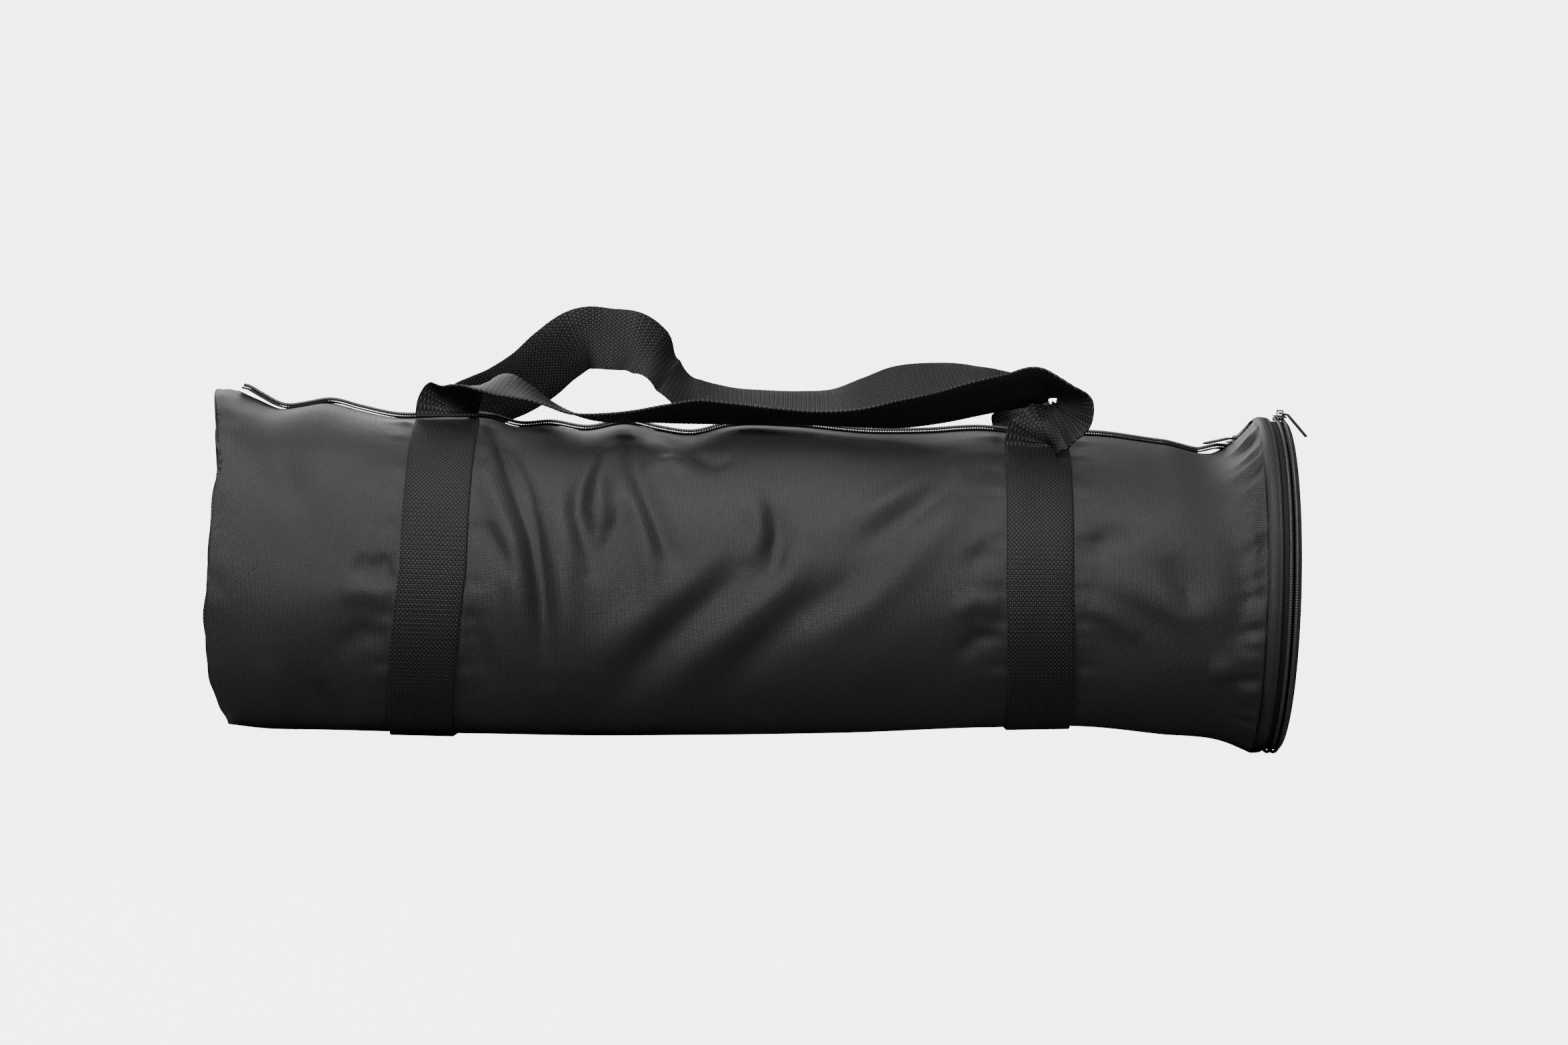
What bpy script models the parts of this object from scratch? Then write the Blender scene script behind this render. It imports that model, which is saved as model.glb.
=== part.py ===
"""A soft cylindrical telescope carry case, in metres, +Z up, resting on z = 0.

The long axis is X. The round door with the end zip is at +X, and the carrying side is +Z.
-Y is the front. The body is a cloth shell with a foam wall, open along the top, where the
top zip closes it. Two webbing bands are sewn round it, and each handle joins the two bands.
"""

import math

import bmesh
import bpy
from mathutils import Matrix, Vector

# Driving dimensions
GAP = 0.0003  # between pieces that are sewn together or touch
CLOTH = 0.0015  # coated polyester with its seam allowance
FOAM = 0.005  # wall padding
WEBBING = 0.0016  # thickness of the webbing
WEBBING_WIDTH = 0.038
RIM_RADIUS = 0.1012  # outside of the stiff ring at the door
RIM_STEPS = 48
RIM_HEIGHT = RIM_RADIUS * math.cos(math.pi / RIM_STEPS)  # the rim's centre, with a facet on z = 0
GUSSET_X = (0.2950, 0.3030)
CHAIN_X = 0.3094  # the end zip's centre line
CHAIN_GAP = 0.0012  # between the two coils, where a slider's web runs
COIL_WIDTH = 0.0024
COIL_HEIGHT = 0.0022
TAPE = 0.0010
TAPE_RADIUS = 0.0984  # outside of the end zip's tapes
ZIP_LINE = 0.1875  # height of the top zip's tapes at x = 0
ZIP_SLOPE = 0.0155  # the top falls this much per metre towards +X
ZIP_X = (-0.3140, 0.2920)
SLOT = 0.0120  # half the opening along the top
DROP = 0.0046  # how far the round section would reach below its flat underside
BODY_STEPS = 36
DOOR_SWING_AT = math.radians(45)  # direction of the door's uncut stretch, from +Y towards +Z
DOOR_AXIS_RADIUS = 0.1026
DOOR_AXIS_X = 0.3112
SLIDER_REST = math.radians(98)  # where the end slider is parked, on the same angle
FRONT_HINGE = (Vector((-0.1855, -0.0311, 0.1890)), Vector((0.1630, -0.0466, 0.1787)))
REAR_HINGE = (Vector((-0.1855, 0.0466, 0.1833)), Vector((0.1630, 0.0466, 0.1797)))


def zip_top(x):
    return ZIP_LINE - ZIP_SLOPE * x


# The body's section along X: place, underside, top, half width and how far the plane leans.
STATIONS = [
    (-0.3165, 0.0040, 0.2005, 0.0985, 0.075),
    (-0.2930, 0.0021, zip_top(-0.2930), 0.1010, 0.040),
    (-0.2600, 0.0021, zip_top(-0.2600), 0.1020, 0.010),
    (-0.2250, 0.0021, zip_top(-0.2250), 0.1025, 0.0),
    (-0.1560, 0.0021, zip_top(-0.1560), 0.1030, 0.0),
    (-0.1000, 0.0024, zip_top(-0.1000), 0.1035, 0.0),
    (-0.0300, 0.0045, zip_top(-0.0300), 0.1035, 0.0),
    (0.0500, 0.0075, zip_top(0.0500), 0.1030, 0.0),
    (0.1380, 0.0130, zip_top(0.1380), 0.1020, 0.0),
    (0.1960, 0.0150, zip_top(0.1960), 0.1015, 0.0),
    (0.2400, 0.0115, zip_top(0.2400), 0.1005, 0.0),
    (0.2780, 0.0080, zip_top(0.2780), 0.0990, 0.0),
    (0.2900, 0.0040, 0.1940, 0.0990, 0.0),
    (0.2946, 0.0020, 0.2000, 0.0990, 0.0),
]


# Colour, roughness and metal share of each stuff
CLOTH_LOOK = ((0.020, 0.020, 0.021), 0.45, 0.0)
FOAM_LOOK = ((0.050, 0.050, 0.055), 0.90, 0.0)
WEBBING_LOOK = ((0.012, 0.012, 0.013), 0.60, 0.0)
TAPE_LOOK = ((0.012, 0.012, 0.012), 0.70, 0.0)
COIL_LOOK = ((0.015, 0.015, 0.016), 0.35, 0.0)
METAL_LOOK = ((0.120, 0.120, 0.125), 0.30, 0.9)
GREY_LOOK = ((0.350, 0.350, 0.360), 0.50, 0.0)


def material(name, look):
    colour, roughness, metallic = look
    made = bpy.data.materials.new(name)
    made.use_nodes = True
    shader = made.node_tree.nodes["Principled BSDF"]
    shader.inputs["Base Color"].default_value = (*colour, 1.0)
    shader.inputs["Roughness"].default_value = roughness
    shader.inputs["Metallic"].default_value = metallic
    made.diffuse_color = (*colour, 1.0)
    return made


def empty(name, place, turn=None):
    made = bpy.data.objects.new(name, None)
    made.matrix_world = Matrix.Translation(place) @ (turn or Matrix.Identity(4))
    bpy.context.scene.collection.objects.link(made)
    return made


def face_out(work):
    """Turns every face of a closed mesh outwards."""
    bmesh.ops.recalc_face_normals(work, faces=work.faces)
    if work.calc_volume(signed=True) < 0:
        bmesh.ops.reverse_faces(work, faces=work.faces)


def put(name, mesh_data, look, pivot=None):
    """Adds one sub-part whose mesh is in world places. A pivot empty becomes its parent."""
    face_out(mesh_data)
    mesh = bpy.data.meshes.new(name)
    mesh_data.to_mesh(mesh)
    mesh_data.free()
    mesh.materials.append(material(name, look))
    made = bpy.data.objects.new(name, mesh)
    bpy.context.scene.collection.objects.link(made)
    if pivot:
        mesh.transform(pivot.matrix_world.inverted())
        made.parent = pivot
    return made


def loft(rings, closed_section=True, capped=True):
    """A skin over rings of equal length. Each ring is one section of the solid."""
    work = bmesh.new()
    rows = [[work.verts.new(point) for point in ring] for ring in rings]
    count = len(rows[0])
    sides = count if closed_section else count - 1
    for first, second in zip(rows, rows[1:]):
        for k in range(sides):
            after = (k + 1) % count
            work.faces.new((first[k], first[after], second[after], second[k]))
    if capped:
        work.faces.new(rows[0])
        work.faces.new(rows[-1])
    return work


# %% The body's surface


def section(station, inset=0.0, slot=SLOT):
    """Points of one section, from the top opening's front edge down the front and round to its rear edge."""
    x, underside, top, half_width, lean = station
    height = (top - underside + DROP) / 2
    middle = top - height
    start = math.asin(slot / half_width)
    points = []
    for k in range(BODY_STEPS + 1):
        angle = start + (2 * math.pi - 2 * start) * k / BODY_STEPS
        y = -(half_width - inset) * math.sin(angle)
        z = middle + (height - inset) * math.cos(angle)
        z = max(z, underside + inset)
        points.append(Vector((x - lean * (z - 0.1), y, z)))
    points[0].y = -slot
    points[-1].y = slot
    return points


def wall(x_from, x_to, outer_inset, inner_inset):
    """A sheet of the given depth under the body's surface, open along the top, between two stations."""
    rings = []
    for station in STATIONS:
        if x_from <= station[0] <= x_to:
            outside = section(station, outer_inset)
            inside = section(station, inner_inset)
            rings.append(outside + inside[::-1])
    work = bmesh.new()
    rows = [[work.verts.new(point) for point in ring] for ring in rings]
    count = len(rows[0])
    for first, second in zip(rows, rows[1:]):
        for k in range(count):
            after = (k + 1) % count
            work.faces.new((first[k], first[after], second[after], second[k]))
    half = count // 2
    for row in (rows[0], rows[-1]):
        for k in range(half - 1):
            work.faces.new((row[k], row[k + 1], row[count - 2 - k], row[count - 1 - k]))
    return work


def surface(x, inset):
    """The body's section at any x, between its stations."""
    for before, after in zip(STATIONS, STATIONS[1:]):
        if x <= after[0]:
            break
    share = (x - before[0]) / (after[0] - before[0])
    first = section(before, inset)
    second = section(after, inset)
    return [a.lerp(b, share) for a, b in zip(first, second)]


def end_disc(outer_inset, x_shift, thickness):
    """A disc that follows the left end's outline, with the same lean."""
    station = STATIONS[0]
    rim = section(station, outer_inset, slot=0.004)
    near = [point + Vector((x_shift, 0, 0)) for point in rim]
    far = [point - Vector((thickness, 0, 0)) for point in near]
    return loft([near, far])


def make_body():
    put("body_shell", wall(-1, 1, 0.0, CLOTH), CLOTH_LOOK)
    depth = CLOTH + GAP
    put("body_padding", wall(-0.30, 0.2850, depth, depth + FOAM), FOAM_LOOK)
    put("left_end_panel", end_disc(0.0, -GAP, CLOTH), CLOTH_LOOK)
    put("left_end_padding", end_disc(0.0065, FOAM + 2 * GAP, FOAM), FOAM_LOOK)


# %% Rings round the door


def arc_points(radius, x, start, end, steps):
    points = []
    for k in range(steps + 1):
        angle = start + (end - start) * k / steps
        points.append(Vector((x, radius * math.cos(angle), RIM_HEIGHT + radius * math.sin(angle))))
    return points


def arc_band(x_range, radii, start_deg, end_deg):
    """A band round the rim with a square section, from one angle to another, counted from +Y towards +Z."""
    step = 360 / RIM_STEPS
    steps = max(1, round((end_deg - start_deg) / step))
    start = math.radians(start_deg)
    end = math.radians(end_deg)
    whole = end_deg - start_deg == 360
    corners = [
        (x_range[0], radii[0]),
        (x_range[1], radii[0]),
        (x_range[1], radii[1]),
        (x_range[0], radii[1]),
    ]
    lines = [arc_points(radius, x, start, end, steps) for x, radius in corners]
    rings = [list(ring) for ring in zip(*lines)]
    if whole:
        rings.pop()
    work = loft(rings, capped=not whole)
    if whole:
        work.verts.ensure_lookup_table()
        last = len(rings) * 4 - 4
        for k in range(4):
            after = (k + 1) % 4
            corner = (last + k, last + after, after, k)
            work.faces.new([work.verts[index] for index in corner])
    return work


def rim_disc(x_range, radius):
    half_step = math.pi / RIM_STEPS
    rings = [arc_points(radius, x, half_step, 2 * math.pi + half_step, RIM_STEPS)[:-1] for x in x_range]
    return loft(rings)


HALF_STEP = 180 / RIM_STEPS
CHAIN = (90 + HALF_STEP, 360 - HALF_STEP)
UNCUT = (-HALF_STEP + 0.4, 90 + HALF_STEP - 0.4)
STOPS = ((UNCUT[0], UNCUT[0] + 1.6), (UNCUT[1] - 1.6, UNCUT[1]))
COIL_RADII = (TAPE_RADIUS + GAP, TAPE_RADIUS + GAP + COIL_HEIGHT)
TAPE_RADII = (TAPE_RADIUS - TAPE, TAPE_RADIUS)
BODY_COIL_X = (CHAIN_X - CHAIN_GAP / 2 - COIL_WIDTH, CHAIN_X - CHAIN_GAP / 2)
DOOR_COIL_X = (CHAIN_X + CHAIN_GAP / 2, CHAIN_X + CHAIN_GAP / 2 + COIL_WIDTH)
BODY_TAPE_X = (GUSSET_X[1] + GAP, BODY_COIL_X[1])
DOOR_TAPE_X = (DOOR_COIL_X[0], 0.3150)


def make_rim():
    gusset = arc_band(GUSSET_X, (RIM_RADIUS - 0.002, RIM_RADIUS), HALF_STEP, 360 + HALF_STEP)
    put("right_gusset", gusset, CLOTH_LOOK)
    put("end_zip_tape_body", arc_band(BODY_TAPE_X, TAPE_RADII, *CHAIN), TAPE_LOOK)
    put("end_zip_coil_body", arc_band(BODY_COIL_X, COIL_RADII, *CHAIN), COIL_LOOK)
    hinge_x = (GUSSET_X[1] + GAP, DOOR_AXIS_X - 0.0014)
    put("hinge_cloth_body", arc_band(hinge_x, TAPE_RADII, *UNCUT), CLOTH_LOOK)
    for side, angles in zip(("rear", "top"), STOPS):
        put("end_zip_stop_" + side, arc_band(BODY_COIL_X, COIL_RADII, *angles), METAL_LOOK)


def make_door():
    across = DOOR_SWING_AT + math.pi / 2
    along = Vector((0, math.cos(across), math.sin(across)))
    y = DOOR_AXIS_RADIUS * math.cos(DOOR_SWING_AT)
    z = RIM_HEIGHT + DOOR_AXIS_RADIUS * math.sin(DOOR_SWING_AT)
    pivot = empty("door_pivot", (DOOR_AXIS_X, y, z), along.to_track_quat("Z", "Y").to_matrix().to_4x4())
    bpy.context.view_layer.update()
    put("door_panel", rim_disc((0.3133, 0.3148), TAPE_RADIUS - TAPE - GAP), CLOTH_LOOK, pivot)
    put("door_padding", rim_disc((0.3080, 0.3130), 0.0900), FOAM_LOOK, pivot)
    put("end_zip_tape_door", arc_band(DOOR_TAPE_X, TAPE_RADII, *CHAIN), TAPE_LOOK, pivot)
    put("end_zip_coil_door", arc_band(DOOR_COIL_X, COIL_RADII, *CHAIN), COIL_LOOK, pivot)
    hinge_x = (DOOR_AXIS_X - 0.0008, DOOR_TAPE_X[1])
    put("hinge_cloth_door", arc_band(hinge_x, TAPE_RADII, *UNCUT), CLOTH_LOOK, pivot)


# %% The top zip

COIL_TOP = TAPE + GAP + COIL_HEIGHT  # above the tape's underside


def box(low, high):
    """A box with square edges, in local places."""
    work = bmesh.new()
    bmesh.ops.create_cube(work, size=1.0)
    size = Vector(high) - Vector(low)
    centre = (Vector(high) + Vector(low)) / 2
    bmesh.ops.scale(work, vec=size, verts=work.verts)
    bmesh.ops.translate(work, vec=centre, verts=work.verts)
    return work


def along_zip():
    """Local frame of the top zip: origin at x = 0 on its tapes' underside, X along the chain."""
    turn = Matrix.Rotation(math.atan(ZIP_SLOPE), 4, "Y")
    return Matrix.Translation((0, 0, ZIP_LINE - 0.0012)) @ turn


def make_top_zip():
    frame = along_zip()
    for side, sign in (("front", -1), ("rear", 1)):
        edges = sorted((sign * (SLOT - GAP), sign * CHAIN_GAP / 2))
        work = box((ZIP_X[0], edges[0], 0), (ZIP_X[1], edges[1], TAPE))
        work.transform(frame)
        put("top_zip_tape_" + side, work, TAPE_LOOK)
        edges = sorted((sign * (CHAIN_GAP / 2 + COIL_WIDTH), sign * CHAIN_GAP / 2))
        work = box((ZIP_X[0] + 0.004, edges[0], TAPE + GAP), (ZIP_X[1] - 0.001, edges[1], COIL_TOP))
        work.transform(frame)
        put("top_zip_coil_" + side, work, COIL_LOOK)
    stop = box((ZIP_X[0] + 0.0010, -0.0030, TAPE + GAP), (ZIP_X[0] + 0.0035, 0.0030, COIL_TOP))
    stop.transform(frame)
    put("top_zip_stop", stop, METAL_LOOK)
    tab = box((-0.0049, -0.0025, -0.0035), (-0.0003, 0.0025, 0.0035))
    tab.transform(Matrix.Translation((-0.3190, 0, 0.1995)))
    put("zip_end_tab", tab, GREY_LOOK)


# %% Sliders and pull tabs. The slider's frame has X along the chain and Z away from it.

SLIDER_LENGTH = 0.0110
SLIDER_HALF_WIDTH = 0.0036
PLATE = 0.0008
PLATE_GAP = 0.0005
OVER = COIL_TOP + PLATE_GAP  # underside of the slider's top plate
PIN = OVER + PLATE + 0.0018  # the pull's pin, above the tape's underside


def grid_plate(xs, ys, windows, thickness):
    """A flat plate made of the cells between the xs and the ys, without the cells named as windows."""
    work = bmesh.new()
    corners = [[work.verts.new((x, y, -thickness / 2)) for y in ys] for x in xs]
    for i in range(len(xs) - 1):
        for j in range(len(ys) - 1):
            if (i, j) not in windows:
                work.faces.new((corners[i][j], corners[i + 1][j], corners[i + 1][j + 1], corners[i][j + 1]))
    loose = [vertex for vertex in work.verts if not vertex.link_faces]
    bmesh.ops.delete(work, geom=loose, context="VERTS")
    raised = bmesh.ops.extrude_face_region(work, geom=list(work.faces), use_keep_orig=True)
    moved = [item for item in raised["geom"] if isinstance(item, bmesh.types.BMVert)]
    bmesh.ops.translate(work, vec=(0, 0, thickness), verts=moved)
    return work


def slider_body(bridge_across):
    """Two plates joined by a thin web between the coils, with the pull's bridge on top."""
    under = -PLATE_GAP
    half = SLIDER_LENGTH / 2
    wide = SLIDER_HALF_WIDTH
    lower = box((-half, -wide, under - PLATE), (half, wide, under))
    upper = box((-half, -wide, OVER), (half, wide, OVER + PLATE))
    web = box((half - 0.0040, -0.0003, under - PLATE / 2), (half - 0.0005, 0.0003, OVER + PLATE / 2))
    heights = (OVER + PLATE / 2, PIN + 0.0010, PIN + 0.0019)
    bridge = grid_plate((-0.0021, -0.0013, 0.0013, 0.0021), heights, {(1, 0)}, 0.0012)
    bridge.transform(Matrix.Rotation(math.pi / 2, 4, "X"))
    if bridge_across:
        bridge.transform(Matrix.Rotation(math.pi / 2, 4, "Z"))
    return [lower, upper, web, bridge]


def union(name, parts, frame, look, pivot):
    """One solid from closed pieces that run into each other, placed by a frame."""
    whole = None
    for k, work in enumerate(parts):
        face_out(work)
        mesh = bpy.data.meshes.new(f"{name}_{k}")
        work.to_mesh(mesh)
        work.free()
        piece = bpy.data.objects.new(f"{name}_{k}", mesh)
        bpy.context.scene.collection.objects.link(piece)
        if whole is None:
            whole = piece
            continue
        join = whole.modifiers.new("join", "BOOLEAN")
        join.operation = "UNION"
        join.object = piece
        bpy.context.view_layer.update()
        graph = bpy.context.evaluated_depsgraph_get()
        joined = bpy.data.meshes.new_from_object(whole.evaluated_get(graph))
        whole.modifiers.clear()
        whole.data = joined
        bpy.data.objects.remove(piece)
    work = bmesh.new()
    work.from_mesh(whole.data)
    bpy.data.objects.remove(whole)
    work.transform(frame)
    return put(name, work, look, pivot)


PULL_LENGTH = 0.0220
PULL_WIDTH = 0.0064
PULL_THICKNESS = 0.0012
PULL_BEND_AT = 0.0048  # from the pin to where the tab bends down


def pull_tab(name, frame_at_pin, bend, look, pivot):
    """A flat tab with a slot at its tip and a window at the root for the slider's bridge. X runs to the tip."""
    wide = PULL_WIDTH / 2
    xs = (-0.0005, 0.0005, PULL_BEND_AT, 0.0070, 0.0150, PULL_LENGTH - 0.0014, PULL_LENGTH)
    ys = (-wide, -wide + 0.0011, wide - 0.0011, wide)
    work = grid_plate(xs, ys, {(1, 1), (4, 1)}, PULL_THICKNESS)
    hinge = Matrix.Translation((PULL_BEND_AT, 0, 0))
    turn = hinge @ Matrix.Rotation(bend, 4, "Y") @ hinge.inverted()
    for vertex in work.verts:
        if vertex.co.x > PULL_BEND_AT + 1e-5:
            vertex.co = turn @ vertex.co
    work.transform(frame_at_pin)
    return put(name, work, look, pivot)


def facing(place, x_axis, z_hint):
    """A frame at a place, with X along one direction and Z as near as can be to another."""
    x_axis = Vector(x_axis).normalized()
    y_axis = Vector(z_hint).cross(x_axis).normalized()
    z_axis = x_axis.cross(y_axis)
    made = Matrix((x_axis, y_axis, z_axis)).transposed().to_4x4()
    return Matrix.Translation(place) @ made


TOP_SLIDER_X = 0.2850
TOP_PULL_WAY = (-0.88, -0.46, 0.0)  # the parked pull points back along the chain and to the front
END_PULL_WAY = (0.98, 0.0, -0.20)  # the parked pull hangs over the rim, past the door
TOP_PULL_BEND = math.radians(12)
END_PULL_BEND = math.radians(37)


def make_sliders():
    frame = along_zip() @ Matrix.Translation((TOP_SLIDER_X, 0, 0))
    pivot = empty("top_slider_pivot", frame.translation)
    pin = frame @ Vector((0, 0, PIN))
    pull_pivot = empty("top_pull_pivot", pin)
    bpy.context.view_layer.update()
    union("top_zip_slider", slider_body(False), frame, METAL_LOOK, pivot)
    tab_frame = facing(pin, TOP_PULL_WAY, (0, 0, 1))
    pull_tab("top_pull_tab", tab_frame, TOP_PULL_BEND, METAL_LOOK, pull_pivot)

    out = Vector((0, math.cos(SLIDER_REST), math.sin(SLIDER_REST)))
    along = Vector((0, math.sin(SLIDER_REST), -math.cos(SLIDER_REST)))
    centre = Vector((CHAIN_X, 0, RIM_HEIGHT))
    frame = facing(centre + out * (TAPE_RADIUS - TAPE), along, out)
    pivot = empty("end_slider_pivot", centre)
    pin = frame @ Vector((0, 0, PIN))
    pull_pivot = empty("end_pull_pivot", pin)
    bpy.context.view_layer.update()
    union("end_zip_slider", slider_body(True), frame, METAL_LOOK, pivot)
    tab_frame = facing(pin, END_PULL_WAY, (0, 0, 1))
    pull_tab("end_pull_tab", tab_frame, END_PULL_BEND, METAL_LOOK, pull_pivot)


# %% Webbing bands and handles


def band_centre(top_x, low_shift, z):
    """A band's middle along X. Its lower half drifts sideways."""
    return top_x + low_shift * max(0.0, (0.1 - z) / 0.1)


def make_band(name, top_x, low_shift, first, last, look):
    """A strip of webbing round the body, from one index of the section to another."""
    lines = []
    for offset in (GAP + 0.0002, GAP + 0.0002 + WEBBING):
        for side in (-0.5, 0.5):
            line = []
            middle = surface(top_x, -offset)
            for k in range(first, last + 1):
                x = band_centre(top_x, low_shift, middle[k].z) + side * WEBBING_WIDTH
                point = surface(x, -offset)[k]
                point.x = x
                line.append(point)
            lines.append(line)
    order = (lines[0], lines[1], lines[3], lines[2])
    put(name, loft([list(ring) for ring in zip(*order)]), look)


def smooth(points, share):
    """A point on the curve through four control points, a share of the way from the second to the third."""
    before, start, end, after = points
    a = 2 * start
    b = end - before
    c = 2 * before - 5 * start + 4 * end - after
    d = 3 * start - before - 3 * end + after
    return (a + b * share + c * share**2 + d * share**3) / 2


def ribbon(route, steps):
    """Webbing along a route. Each stop gives a place and the direction across the webbing, both in mm."""
    places = [Vector(stop[:3]) / 1000 for stop in route]
    across = [Vector(stop[3:]).normalized() for stop in route]
    fine = []
    last = len(route) - 1
    for k in range(last):
        picks = [max(k - 1, 0), k, k + 1, min(k + 2, last)]
        for step in range(steps):
            share = step / steps
            place = places[k].lerp(places[k + 1], share)
            if 0 < k < last - 1:
                place = smooth([places[i] for i in picks], share)
            width = smooth([across[i] for i in picks], share).normalized()
            fine.append((place, width))
    fine.append((places[-1], across[-1]))
    rings = []
    for k, (place, width) in enumerate(fine):
        ahead = fine[min(k + 1, len(fine) - 1)][0]
        behind = fine[max(k - 1, 0)][0]
        tangent = (ahead - behind).normalized()
        normal = tangent.cross(width).normalized() * (WEBBING / 2)
        half = normal.cross(tangent).normalized() * (WEBBING_WIDTH / 2)
        rings.append([place - half - normal, place + half - normal, place + half + normal, place - half + normal])
    return loft(rings)


# Places along each handle and the direction across it, in millimetres, from the left band to the right.
FRONT_ROUTE = [
    (-185.5, -30.0, 189.3, 1, 0, 0),
    (-185.5, -30, 193, 1, 0, 0),
    (-181, -31, 200, 0.95, 0.30, 0),
    (-175, -34, 204, 0.76, 0.64, 0.03),
    (-165, -37, 208, 0.55, 0.80, 0.22),
    (-154, -39, 209, 0.31, 0.89, 0.34),
    (-141, -40, 205, 0.12, 0.96, 0.26),
    (-127, -41, 199, 0, 0.99, 0.11),
    (-112, -41, 193, 0, 1, 0.03),
    (-94, -40, 190.8, 0, 1, -0.08),
    (-74, -40, 192, 0, 0.99, -0.14),
    (-55, -40, 194, 0, 0.97, -0.25),
    (-39, -39, 195.5, 0, 0.94, -0.33),
    (-16, -39, 195, 0, 0.96, -0.29),
    (9, -39, 194, 0, 0.97, -0.22),
    (35, -39, 193.5, 0, 0.98, -0.18),
    (61, -39, 194.5, 0.11, 0.96, -0.25),
    (81, -39, 197, 0.14, 0.91, -0.38),
    (103, -40, 201, 0.26, 0.87, -0.41),
    (130, -44, 208, 0.36, 0.82, -0.44),
    (150, -48, 212.5, 0.40, 0.79, -0.46),
    (169, -53, 216, 0.42, 0.79, -0.43),
    (178, -54, 212, 0.01, 0.96, -0.29),
    (183, -53, 206, -0.50, 0.85, -0.18),
    (182, -52, 199, -0.68, 0.73, -0.09),
    (175, -50, 192, -0.80, 0.60, 0),
    (166, -47.5, 187, -0.97, 0.24, 0),
    (163, -45.6, 182.5, -1, 0, 0),
    (163, -45.5, 179.0, -1, 0, 0),
]
REAR_ROUTE = [
    (-185.5, 45.5, 183.6, 1, 0, 0),
    (-185.5, 45.4, 188, 1, 0, 0),
    (-178, 43, 196, 0.99, 0.06, -0.15),
    (-167, 40, 202, 0.96, 0.14, -0.23),
    (-154, 36, 208, 0.90, 0.20, -0.37),
    (-139, 31, 217.5, 0.79, 0.26, -0.55),
    (-125, 26, 230, 0.77, 0.22, -0.60),
    (-109, 22, 243.5, 0.80, 0.05, -0.60),
    (-92, 21, 244, 0.47, -0.17, -0.87),
    (-75, 20, 240, 0.17, -0.21, -0.96),
    (-61, 21, 231, 0.14, -0.28, -0.95),
    (-47, 24, 218, 0.30, -0.51, -0.80),
    (-30, 28, 208, 0.30, -0.70, -0.65),
    (-12, 31, 203.5, 0.18, -0.83, -0.53),
    (4, 32, 202, 0.07, -0.85, -0.53),
    (25, 32, 202, 0, -0.85, -0.53),
    (44, 32, 203.5, 0, -0.84, -0.54),
    (64, 32, 209, 0, -0.75, -0.66),
    (82, 32, 215, 0.08, -0.70, -0.71),
    (106, 34, 219.5, 0.07, -0.77, -0.63),
    (130, 40, 221, 0.14, -0.85, -0.52),
    (145, 45, 218, -0.24, -0.87, -0.43),
    (153, 47, 211, -0.78, -0.54, -0.31),
    (158, 46, 203, -0.96, -0.11, -0.24),
    (161, 45.5, 194, -1, 0, -0.1),
    (163, 45.5, 184.5, -1, 0, 0),
    (163, 45.5, 180, -1, 0, 0),
]


def make_webbing():
    make_band("left_band", -0.1855, -0.0105, 1, BODY_STEPS - 2, WEBBING_LOOK)
    make_band("right_band", 0.1630, 0.0060, 2, BODY_STEPS - 2, WEBBING_LOOK)
    for name, route, hinge in (
        ("front_handle", FRONT_ROUTE, FRONT_HINGE),
        ("rear_handle", REAR_ROUTE, REAR_HINGE),
    ):
        pivot = empty(name + "_pivot", hinge[0])
        bpy.context.view_layer.update()
        put(name, ribbon(route, 2), WEBBING_LOOK, pivot)


def main():
    for old in list(bpy.data.objects):
        bpy.data.objects.remove(old)
    make_body()
    make_rim()
    make_door()
    make_top_zip()
    make_sliders()
    make_webbing()


main()
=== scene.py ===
# %% [markdown]
# # A soft carry case for a telescope tube
# The case is a cloth cylinder with a foam wall. A zip runs along its top, a round door closes one
# end, two webbing bands are sewn round it, and each handle joins the two bands. The rigid CAD
# solids give the places, and every soft piece is made again here as cloth.

import math

import bmesh
import bpy
import numpy as np
from mathutils import Matrix, Vector


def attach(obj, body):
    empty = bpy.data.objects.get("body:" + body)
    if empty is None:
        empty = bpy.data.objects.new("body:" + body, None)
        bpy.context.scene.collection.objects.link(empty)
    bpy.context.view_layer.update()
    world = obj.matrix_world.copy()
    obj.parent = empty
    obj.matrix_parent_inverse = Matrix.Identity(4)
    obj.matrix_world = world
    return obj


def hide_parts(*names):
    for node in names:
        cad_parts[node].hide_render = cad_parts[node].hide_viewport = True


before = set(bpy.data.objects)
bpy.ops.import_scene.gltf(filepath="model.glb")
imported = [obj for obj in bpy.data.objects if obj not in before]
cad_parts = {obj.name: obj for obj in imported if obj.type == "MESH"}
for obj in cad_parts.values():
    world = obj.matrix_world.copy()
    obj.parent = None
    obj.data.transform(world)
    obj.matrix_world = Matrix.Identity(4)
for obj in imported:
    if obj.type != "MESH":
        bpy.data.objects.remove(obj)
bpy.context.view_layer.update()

# %% [markdown]
# ## Camera and lights
# A long lens at the height of the case shows it almost without perspective, so its length and its
# round ends read true. The camera is rolled a little, as a hand-held one is. Large soft lights suit
# black cloth: they draw broad, weak highlights that show the folds.

# %% Camera
CAMERA_PLACE = (0.0153, -2.35, 0.1315)
camera_data = bpy.data.cameras.new("camera")
camera_data.lens = 89.9
camera_data.sensor_width = 36.0
camera = bpy.data.objects.new("camera", camera_data)
look_ahead = Matrix.Rotation(math.radians(90), 4, "X")
roll = Matrix.Rotation(math.radians(1.39), 4, "Z")
camera.matrix_world = Matrix.Translation(CAMERA_PLACE) @ look_ahead @ roll
bpy.context.scene.collection.objects.link(camera)
bpy.context.scene.camera = camera
print("camera", tuple(round(c, 3) for c in camera.matrix_world.translation))

# %% Lights


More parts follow.
